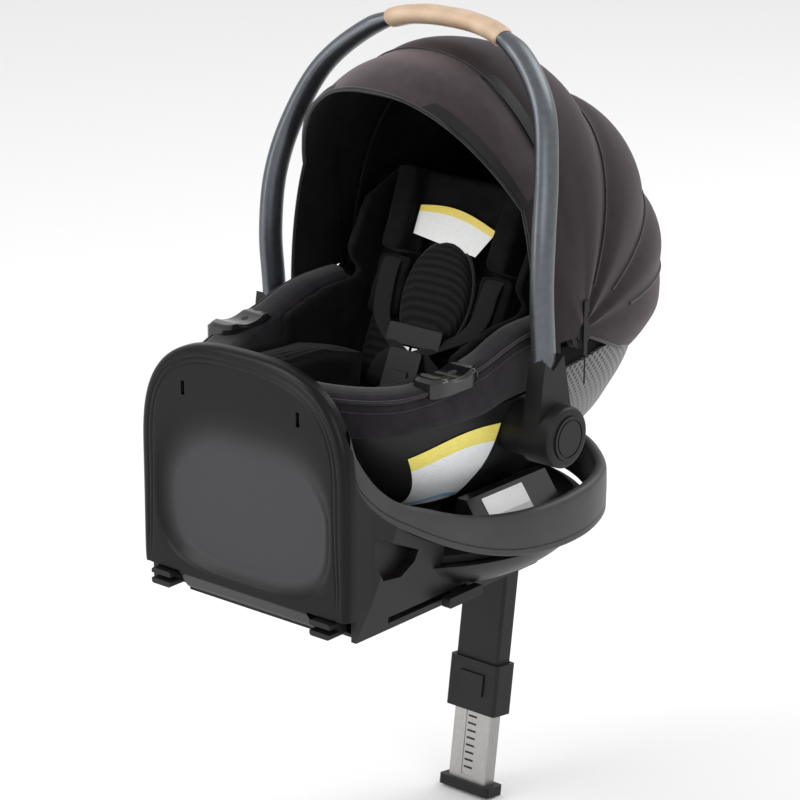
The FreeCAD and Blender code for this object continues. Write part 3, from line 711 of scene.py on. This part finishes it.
seamBead("brimPiping", -28.8, hood["corner"], 2.0, 0.4, "canopy_visor")
seamBead("visorSeam", -10.2, hood["corner"], 1.1, 0.6, "canopy_visor")
seamBead("rearSeamOne", 30, hood["foot"] + 40, 1.5, 0.8, "carrier")
seamBead("rearSeamTwo", 64, hood["foot"] + 60, 1.4, 0.6, "carrier")
seamBead("rearSeamThree", 86, hood["foot"] + 90, 1.4, 0.6, "carrier")
hem = [rearPoint(1.0, k / 90, 0.2) for k in range(91)]
dress(bead("rearHem", hem, 1.8 * mm), "pipingCloth", "carrier")
for side, label in ((1, "Right"), (-1, "Left")):
    edge = []
    for k in range(40):
        reach = mix(86, hood["corner"], k / 39)
        edge.append(hoodPoint(cheekAngle(reach) + 0.2, reach, side, 0.2))
    dress(bead("cheekEdge" + label, edge, 1.7 * mm), "pipingCloth", "canopy_front")
print("canopy seams made")

# ---- base: rebound panel with its dished face, and the rounded rim band

panel = {
    "face": -272.0, "back": -256.0, "half": 148.0, "crown": 142.0, "middle": 150.0, "lip": 9.0,
    "dish": {"centre": 122.0, "half": 128.0, "up": 125.0, "down": 92.0, "deep": 11.0},
}


def panelReach(angle):
    c, s = math.cos(angle), math.sin(angle)
    power, tall = (2.9, panel["crown"]) if s >= 0 else (14.0, panel["middle"])
    return (abs(c / panel["half"]) ** power + abs(s / tall) ** power) ** (-1 / power)


def dishDepth(x, z):
    dish = panel["dish"]
    rise = z - dish["centre"]
    tall = dish["up"] if rise > 0 else dish["down"]
    s = (abs(x / dish["half"]) ** 3.4 + abs(rise / tall) ** 3.4) ** (1 / 3.4)
    wide = 0.18 if rise <= 0 else mix(0.18, 0.95, ease(rise / tall))
    return dish["deep"] * ease((1 - s) / wide)


def panelFace(u, v):
    angle = u * 2 * math.pi - math.pi / 2
    reach = panelReach(angle)
    edges = [(0.0, 0.0), (0.62, reach - 30), (0.92, reach - 4), (0.97, reach), (1.0, reach)]
    r = steps(edges, v)
    x, z = r * math.cos(angle), panel["middle"] + r * math.sin(angle)
    gap = reach - r
    lip = panel["lip"]
    inward = lip - math.sqrt(max(lip * lip - max(lip - gap, 0) ** 2, 0))
    groove = 1.0 * math.exp(-((gap - 13) / 1.1) ** 2) + 0.8 * math.exp(-((gap - 18.5) / 1.1) ** 2)
    if z < 60:
        groove *= ease((z - 30) / 30)
    chamfer = 15 * min(max((24 - z) / 24, 0), 1)
    y = panel["face"] + min(inward + groove + dishDepth(x, z) + chamfer, 15.4)
    if v > 0.985:
        y = panel["back"]
    return Vector((x * mm, y * mm, z * mm))


def cutter(name, low, high):
    deselectAll()
    bpy.ops.mesh.primitive_cube_add(size=1)
    piece = bpy.context.object
    piece.name = name
    piece.scale = [(b - a) * mm for a, b in zip(low, high)]
    piece.location = [(a + b) / 2 * mm for a, b in zip(low, high)]
    return settle(piece)


def carve(piece, cutters):
    for tool in cutters:
        modify(piece, "BOOLEAN", operation="DIFFERENCE", object=tool, solver="EXACT")
        bpy.data.objects.remove(tool)
    return piece


reboundFace = surface("reboundFace", 200, 84, panelFace)
editAll(reboundFace, mergeClose(0.0002), faceOut)
capEnds(reboundFace)
tools = []
for side in (1, -1):
    low, high = sorted((side * 79.5, side * 84.5))
    tools.append(cutter("slotTool", (low, -290, 229), (high, -250, 245)))
    low, high = sorted((side * 92, side * 160))
    tools.append(cutter("notchTool", (low, -290, -5), (high, -250, 26)))
carve(reboundFace, tools)
smoothed(reboundFace, 35)
# painted reflection: the dish attribute makes the dish paler, fading out towards its top
dishReflectionPaint = reboundFace.data.color_attributes.new("dish", "FLOAT_COLOR", "POINT")
for point, spot in zip(reboundFace.data.vertices, dishReflectionPaint.data):
    share = dishDepth(point.co.x / mm, point.co.z / mm) / panel["dish"]["deep"]
    share = share**1.5 * ease((245 - point.co.z / mm) / 80)
    spot.color = (share, share, share, 1)
dress(reboundFace, "panelGloss", "base")
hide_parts("rebound_panel")
print("rebound panel made")

rim = {
    "plan": [(142, -258), (150, -236), (160, -205), (176, -152), (189, -106), (203, -60), (211, -18), (213, 30),
             (207, 75), (187, 122), (152, 160), (110, 190), (60, 209), (0, 215)],
    "low": [(-264, 222), (-247, 159), (-183, 105), (-89, 61), (0, 48), (100, 50), (224, 58)],
    "top": [(-264, 262), (-250, 205), (-212, 152), (-164, 128), (-106, 108), (-30, 101), (73, 104), (224, 108)],
    "wall": 15.0,
}


def rimPlan(t):
    spots = rim["plan"]
    whole = spots + [(-x, y) for x, y in reversed(spots[:-1])]
    place = t * (len(whole) - 1)
    xs = [(k, p[0]) for k, p in enumerate(whole)]
    ys = [(k, p[1]) for k, p in enumerate(whole)]
    return easy(xs, place), easy(ys, place)


def rimPoint(u, v):
    x, y = rimPlan(u)
    step = 0.002
    ax, ay = rimPlan(max(u - step, 0))
    bx, by = rimPlan(min(u + step, 1))
    length = math.hypot(bx - ax, by - ay) or 1
    inX, inY = -(by - ay) / length, (bx - ax) / length
    if inX * x + inY * y > 0:
        inX, inY = -inX, -inY
    low, top = easy(rim["low"], y), easy(rim["top"], y)
    wall = rim["wall"]
    tall = top - low
    section = [(wall, low + 1), (wall - 1, low), (1.5, low), (0.4, low + 1.2), (0, low + 5), (0, low + 7),
               (1.1, low + 7.7), (1.1, low + 8.3), (0, low + 9), (-0.4, low + tall * 0.5), (0, top - 8)]
    for k in range(1, 8):
        a = math.pi * k / 8
        section.append((wall / 2 - wall / 2 * math.cos(a), top - 8 + 8 * math.sin(a)))
    section += [(wall, top - 8), (wall, low + 1)]
    place = v * (len(section) - 1)
    k = min(int(place), len(section) - 2)
    inset = mix(section[k][0], section[k + 1][0], place - k)
    z = mix(section[k][1], section[k + 1][1], place - k)
    return Vector(((x + inX * inset) * mm, (y + inY * inset) * mm, z * mm))


rimShape = surface("rimShape", 150, 38, rimPoint, closed=True)
carve(rimShape, [cutter("buttonTool", (-23, 190, 71.5), (23, 230, 92.5))])
smoothed(rimShape, 38)
dress(rimShape, "rimSatin", "base")
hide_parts("rim_band")
print("rim made")

# ---- seat cover: a rolled rim with a skirt down the outside

cover = {
    "half": 163.0, "front": 242.0, "back": 300.0, "square": 3.2,
    "top": [(-262, 262), (-184, 254), (-134, 258), (-68, 269), (-34, 279), (0, 286), (62, 288)],
    "low": [(-262, 210), (-184, 208), (-134, 208), (-68, 208), (-34, 214), (0, 216), (62, 216)],
    "end": 58.0,
}


def planPoint(angle, grow):
    c, s = math.cos(angle), math.sin(angle)
    long = cover["back"] if s > 0 else cover["front"]
    a, b = cover["half"] + grow, long + grow
    r = (abs(c / a) ** cover["square"] + abs(s / b) ** cover["square"]) ** (-1 / cover["square"])
    return r * c, r * s


coverStart = math.atan2(cover["end"], cover["half"])


def coverAngle(u):
    return mix(coverStart, -math.pi - coverStart, u)


# how far out each step of the section is, then how far below the top, as millimetres or a share of the skirt
coverSection = [
    (-37, 26, 0), (-36.5, 16, 0), (-34, 7, 0), (-28, 1.8, 0), (-20, 0.2, 0), (-11, 0.4, 0), (-4, 1.6, 0),
    (0.5, 4, 0),
    (3.0, 7, 0), (3.4, 9, 0), (2.3, 10, 0), (3.6, 11.5, 0), (4.8, 0, 0.40), (5.0, 0, 0.62), (4.0, 0, 0.82),
    (2.2, 0, 0.95), (0.9, 0, 1.0),
]


def coverPoint(u, v):
    angle = coverAngle(u)
    place = v * (len(coverSection) - 1)
    k = min(int(place), len(coverSection) - 2)
    t = place - k
    base = planPoint(angle, 0)[1]
    top, low = easy(cover["top"], base), easy(cover["low"], base)
    tall = top - low

    def drop(step):
        return step[1] if step[2] == 0 else step[2] * tall

    grow = mix(coverSection[k][0], coverSection[k + 1][0], t)
    x, y = planPoint(angle, grow)
    return Vector((x * mm, y * mm, (top - mix(drop(coverSection[k]), drop(coverSection[k + 1]), t)) * mm))


seatCover = surface("seatCover", 150, 48, coverPoint)
editAll(seatCover, mergeClose(), faceOut)
modify(seatCover, "SOLIDIFY", thickness=0.0014, offset=-1)
smoothed(seatCover, 60)
dress(seatCover, "coverCloth", "carrier")
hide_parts("seat_cover")


def coverLine(grow, drop, first=0.0, last=1.0, count=140):
    points = []
    for k in range(count + 1):
        angle = coverAngle(mix(first, last, k / count))
        x, y = planPoint(angle, grow)
        top = easy(cover["top"], planPoint(angle, 0)[1])
        points.append((x * mm, y * mm, (top - drop) * mm))
    return points


dress(bead("coverPiping", coverLine(3.6, 6.2), 1.6 * mm), "pipingCloth", "carrier")
dress(bead("coverSeam", coverLine(4.6, 18.0), 0.7 * mm), "pipingCloth", "carrier")
print("seat cover made")

# ---- padded pieces: each starts from its solid and is swelled like stuffed cloth


def shareMesh(name, *nodes):
    copies = []
    for source in nodes:
        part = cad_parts[source]
        copy = bpy.data.objects.new(source + "Copy", part.data.copy())
        bpy.context.collection.objects.link(copy)
        copy.hide_render = False
        copies.append(copy)
    piece = joined(name, copies)
    return editAll(piece, mergeClose(0.00001))


def swell(piece, pressure, cap, frames=20):
    rest = [point.co.copy() for point in piece.data.vertices]
    pickOnly(piece)
    bpy.ops.object.modifier_add(type="CLOTH")
    cloth = piece.modifiers[-1]
    cloth.settings.use_pressure = True
    cloth.settings.uniform_pressure_force = pressure
    cloth.settings.effector_weights.gravity = 0
    cloth.settings.tension_stiffness = 25
    cloth.settings.compression_stiffness = 25
    cloth.settings.bending_stiffness = 1.5
    cloth.point_cache.frame_start = 1
    cloth.point_cache.frame_end = frames
    for number in range(1, frames + 1):
        bpy.context.scene.frame_set(number)
    bpy.ops.object.modifier_apply(modifier=cloth.name)
    bpy.context.scene.frame_set(1)
    for point, start in zip(piece.data.vertices, rest):
        move = point.co - start
        if move.length > cap:
            point.co = start + move.normalized() * cap
    return piece


# belt saddles: glossy, rounded, and hollowed along the belt's path
saddle = {"x": 148, "y": -111, "halfX": 19, "halfY": 40, "foot": 245, "high": 264.5, "low": 259.0}


def saddlePoint(side):
    def place(u, v):
        angle = u * 2 * math.pi
        c, s = math.cos(angle), math.sin(angle)
        reach = (abs(c) ** 4.5 + abs(s) ** 4.5) ** (-1 / 4.5)
        share = min(v / 0.8, 1.0)
        x = saddle["halfX"] * reach * c * share
        y = saddle["halfY"] * reach * s * share
        top = min(max(312 - math.sqrt(max(52**2 - y * y, 0)), saddle["low"]), saddle["high"])
        z = mix(top - 4 * ease((share - 0.82) / 0.18), saddle["foot"], max(v - 0.8, 0) / 0.2)
        return Vector((side * (saddle["x"] + x) * mm, (saddle["y"] + y) * mm, z * mm))
    return place


saddles = []
for side in (1, -1):
    half = surface("saddleHalf", 72, 30, saddlePoint(side))
    editAll(half, mergeClose(0.0001), faceOut)
    modify(half, "SOLIDIFY", thickness=0.0016, offset=-1)
    saddles.append(smoothed(half, 50))
beltSaddles = joined("beltSaddles", saddles)
dress(beltSaddles, "glossBlack", "carrier")
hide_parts("belt_guides")


def cushion(name, nodes, look, body, voxel=4.0, pressure=4.0, cap=4.0, soften=6):
    piece = shareMesh(name, *nodes)
    modify(piece, "REMESH", mode="VOXEL", voxel_size=voxel * mm, use_smooth_shade=True)
    modify(piece, "SMOOTH", factor=0.5, iterations=soften)
    swell(piece, pressure, cap * mm)
    modify(piece, "SUBSURF", levels=1, render_levels=1)
    smoothed(piece, 80)
    dress(piece, look, body)
    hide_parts(*nodes)
    return piece


cushion("seatPad", ["seat_pad"], "innerCloth", "carrier",
        voxel=5.0, pressure=1.5, cap=2.0)
cushion("infantInsert", ["infant_insert"], "ribMesh", "carrier", cap=3.0)
cushion("bodyInsert", ["body_insert"], "ribMesh", "carrier", voxel=3.0, cap=4.0)
cushion("headSupport", ["head_support"], "innerCloth", "headrest",
        cap=4.0, soften=14)
cushion("sideBolsters", ["side_bolsters"], "sideMesh", "carrier", cap=5.0)
cushion("strapPads", ["strap_pads"], "innerCloth", "carrier", voxel=3.0, cap=2.5, soften=12)
print("cushions swelled")

# ---- lines sewn round the cushions

back = {"angle": 66.0, "foot": (35.0, 150.0)}
oval = {"up": 123, "half": 47.5, "tall": 65.5, "out": 36, "steps": 64}


def onBack(x, d, n):
    a = math.radians(back["angle"])
    y = back["foot"][0] + d * math.cos(a) - n * math.sin(a)
    z = back["foot"][1] + d * math.sin(a) + n * math.cos(a)
    return (x * mm, y * mm, z * mm)


ring = []
for k in range(oval["steps"]):
    a = 2 * math.pi * k / oval["steps"]
    ring.append(onBack(oval["half"] * math.cos(a), oval["up"] + oval["tall"] * math.sin(a), oval["out"]))
dress(bead("insertPiping", ring, 1.7 * mm, closed=True), "pipingCloth", "carrier")

# ---- harness: flat webbing, modelled directly

straps = {"width": 24.0, "thick": 1.8}


def webbing(name, spots, width, thick, look="webbing"):
    count = len(spots)
    tables = [[(k, p[i]) for k, p in enumerate(spots)] for i in range(3)]

    def place(u, v):
        t = u * (count - 1)
        x, d, n = (easy(table, t) for table in tables)
        bulge = 0.6 * math.sin(math.pi * v)
        return Vector(onBack(x + (v - 0.5) * width, d, n + bulge))

    piece = surface(name, 36, 6, place)
    modify(piece, "SOLIDIFY", thickness=thick * mm, offset=0)
    modify(piece, "BEVEL", width=0.0004, segments=2, limit_method="ANGLE")
    return smoothed(piece, 50)


parts = []
for side in (1, -1):
    parts.append(webbing("shoulder", [(side * 73, 160, 26), (side * 73, 150, 40), (side * 70, 110, 41.5),
                                      (side * 60, 88, 47), (side * 36, 70, 56), (side * 14, 57, 60)],
                         straps["width"], straps["thick"]))
    parts.append(webbing("lap", [(side * 66, 12, 26), (side * 52, 24, 42), (side * 34, 44, 56),
                                 (side * 15, 58, 60)], straps["width"], straps["thick"]))
parts.append(webbing("crotch", [(0, 8, 57), (0, -6, 60), (0, -18, 52), (0, -26, 40)], 36, 2.2))
harness = joined("harness", parts)
dress(harness, "webbing", "carrier")
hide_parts("harness_straps")
print("harness made")

# ---- handle tube: an oval bar swept from hub to hub

bar = {
    "half": [(194, 1, 205), (194, -5, 275), (194, -9, 335), (191, -3, 400), (180, 14, 460), (156, 38, 520),
             (112, 59, 563), (62, 69, 586), (0, 72, 592)],
    "wide": 13.0, "thin": 8.5, "fuller": 2.6, "gripEnd": 79, "hub": (0, 177),
}
barPath = bar["half"] + [(-x, y, z) for x, y, z in reversed(bar["half"][:-1])]


def barSpot(t):
    place = t * (len(barPath) - 1)
    return Vector([easy([(k, p[i]) for k, p in enumerate(barPath)], place) for i in range(3)])


def barPoint(u, v):
    spot = barSpot(u)
    along = (barSpot(min(u + 0.004, 1)) - barSpot(max(u - 0.004, 0))).normalized()
    away = Vector((0, spot.y - bar["hub"][0], spot.z - bar["hub"][1])).normalized()
    level = Vector((0, away.z, -away.y))
    level = (level - along * level.dot(along)).normalized()
    across = along.cross(level)
    more = bar["fuller"] * ease((abs(spot.x) - bar["gripEnd"]) / 22) * ease((spot.z - 218) / 30)
    angle = v * 2 * math.pi
    thin = across * math.sin(angle)
    inner = more * min(1 + min(thin.dot(away), 0), 1)
    edge = level * math.cos(angle) * (bar["wide"] + more) + thin * (bar["thin"] + inner)
    return (spot + edge) * mm


handleTube = surface("handleTube", 200, 36, barPoint, closed=True)
capEnds(handleTube)
smoothed(handleTube, 50)
dress(handleTube, "gunmetal", "handle")
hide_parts("handle_tube")
print("handle tube made")

# ---- handle grip: stitched leather sleeve

grip = {"half": 79.0, "wide": 15.4, "thin": 10.9, "stitches": 46}
handleTop = [(-156, 38, 520), (-112, 59, 563), (-62, 69, 586), (0, 72, 592), (62, 69, 586), (112, 59, 563),
             (156, 38, 520)]


def handleSpot(x):
    return easy([(p[0], p[1]) for p in handleTop], x), easy([(p[0], p[2]) for p in handleTop], x)


def gripRing(x, angle, grow):
    y, z = handleSpot(x)
    y1, z1 = handleSpot(x + 1)
    tilt = math.atan2(y - 0, z - 177)
    out = Vector((0, math.sin(tilt), math.cos(tilt)))
    level = Vector((0, math.cos(tilt), -math.sin(tilt)))
    lean = Vector((1, y1 - y, z1 - z)).normalized()
    out = (out - lean * out.dot(lean)).normalized()
    edge = level * (grip["wide"] + grow) * math.cos(angle) + out * (grip["thin"] + grow) * math.sin(angle)
    return (Vector((x, y, z)) + edge) * mm


def sleevePoint(u, v):
    x = mix(-grip["half"], grip["half"], u)
    gap = (1 - abs(2 * u - 1)) * grip["half"]
    grow = -1.8 * (1 - ease(gap / 2.2)) + 0.25 * math.sin(u * 23)
    return gripRing(x, v * 2 * math.pi, grow)


sleeve = surface("sleeve", 90, 32, sleevePoint, closed=True)
smoothed(sleeve, 60)
dress(sleeve, "leather", "handle")
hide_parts("handle_grip")
stitches = []
for k in range(grip["stitches"]):
    x = mix(-grip["half"] + 3, grip["half"] - 3, k / (grip["stitches"] - 1))
    ends = [gripRing(x - 1.0, math.radians(250), 0.15), gripRing(x + 1.0, math.radians(262), 0.15)]
    stitches.append(bead("stitch", ends, 0.42 * mm, 1))
dress(joined("gripStitches", stitches), "thread", "handle")
print("grip made")

# ---- length marks down the load leg

leg = {
    "pivot": (168, 20), "lean": math.radians(8), "first": 276, "pitch": 9, "tall": 2.2, "half": 6, "out": 8.95,
    "marks": 8,
}


def legMark(number):
    def place(u, v):
        s = leg["first"] + leg["pitch"] * number + leg["tall"] * v
        c, t = math.cos(leg["lean"]), math.sin(leg["lean"])
        y = leg["pivot"][0] - s * t - leg["out"] * c
        z = leg["pivot"][1] - s * c + leg["out"] * t
        return Vector((mix(-leg["half"], leg["half"], u) * mm, y * mm, z * mm))

    piece = surface("legMark", 4, 2, place)
    return modify(piece, "SOLIDIFY", thickness=0.0003, offset=0)


legMarks = joined("legMarks", [legMark(k) for k in range(leg["marks"])])
dress(legMarks, "blackPlastic", "load_leg_lower")
print("leg marks made")

# ---- plain labels, with no lettering

shellSections = [(78, 84, 92), (104, 110, 140), (118, 122, 164), (136, 136, 186), (162, 149, 212), (190, 158, 232),
                 (216, 163, 242), (262, 163, 242)]


def shellX(y, z):
    half = easy([(s[0], s[1]) for s in shellSections], z)
    front = easy([(s[0], s[2]) for s in shellSections], z)
    share = min(abs(y) / (front if y < 0 else 300), 0.999)
    return half * (1 - share**3.2) ** (1 / 3.2)


def sidePatch(name, corners, bow, lift, side=1):
    def place(u, v):
        low = [mix(corners[0][i], corners[1][i], u) for i in (0, 1)]
        high = [mix(corners[3][i], corners[2][i], u) for i in (0, 1)]
        y, z = mix(low[0], high[0], v), mix(low[1], high[1], v)
        z += bow * math.sin(math.pi * u)
        return Vector((side * (shellX(y, z) + lift) * mm, y * mm, z * mm))

    piece = surface(name, 30, 12, place)
    modify(piece, "SOLIDIFY", thickness=0.0003, offset=0)
    return smoothed(piece, 40)


dress(sidePatch("carrierLabel", [(-100, 84), (-40, 80), (-32, 188), (-160, 176)], 9, 1.4), "sideLabel",
      "carrier")


def dockPatch(u, v):
    low, high = (168, 64), (139, 104)
    t = mix(0.12, 0.90, v)
    x, z = mix(low[0], high[0], t) + 0.5, mix(low[1], high[1], t) + 0.35
    return Vector((x * mm, mix(-44, 26, u) * mm, z * mm))


dockLabel = surface("dockLabel", 12, 8, dockPatch)
modify(dockLabel, "SOLIDIFY", thickness=0.0003, offset=0)
dress(dockLabel, "dockLabel", "turntable")


def seatTag(u, v):
    x = mix(-57, mix(36, 56, v), u)
    d = mix(mix(188, 177, u), mix(221, 209, u), v) + 9 * math.sin(math.pi * u) * v
    n = 36 + 3.5 * math.sin(math.pi * u)
    return Vector(onBack(x, d, n))


tag = surface("seatTag", 18, 12, seatTag)
modify(tag, "SOLIDIFY", thickness=0.0004, offset=0)
dress(tag, "seatLabel", "headrest")
print("labels made")

# ---- stage: pale floor and soft studio light

floorHigh = cadBox[0][2] - 0.0005
deselectAll()
bpy.ops.mesh.primitive_plane_add(size=14, location=(0, 0, floorHigh))
floor = bpy.context.object
floor.name = "floor"
floorPaint, _, floorShader, _ = startMaterial("floorPaint")
floorShader.inputs["Base Color"].default_value = (0.88, 0.88, 0.88, 1)
floorShader.inputs["Roughness"].default_value = 0.7
floor.data.materials.append(floorPaint)

lights = [
    ("keyLight", (-1.6, -2.6, 3.0), 2.2, 62),
    ("fillLight", (3.0, -1.4, 1.6), 2.4, 30),
    ("backLight", (0.8, 3.0, 2.6), 2.0, 45),
    ("panelLight", (-1.4, -3.4, 0.7), 1.6, 26),
]
for name, place, size, power in lights:
    deselectAll()
    bpy.ops.object.light_add(type="AREA", location=place)
    lamp = bpy.context.object
    lamp.name = name
    lamp.data.energy = power
    lamp.data.size = size
    towards = Vector((0, 0, 0.2)) - Vector(place)
    lamp.rotation_euler = towards.to_track_quat("-Z", "Y").to_euler()
world = bpy.data.worlds.new("studio")
bpy.context.scene.world = world
world.use_nodes = True
sky = world.node_tree.nodes["Background"]
sky.inputs["Color"].default_value = (1, 1, 1, 1)
sky.inputs["Strength"].default_value = 0.85
bpy.context.scene.view_settings.view_transform = "Standard"
print("stage set")
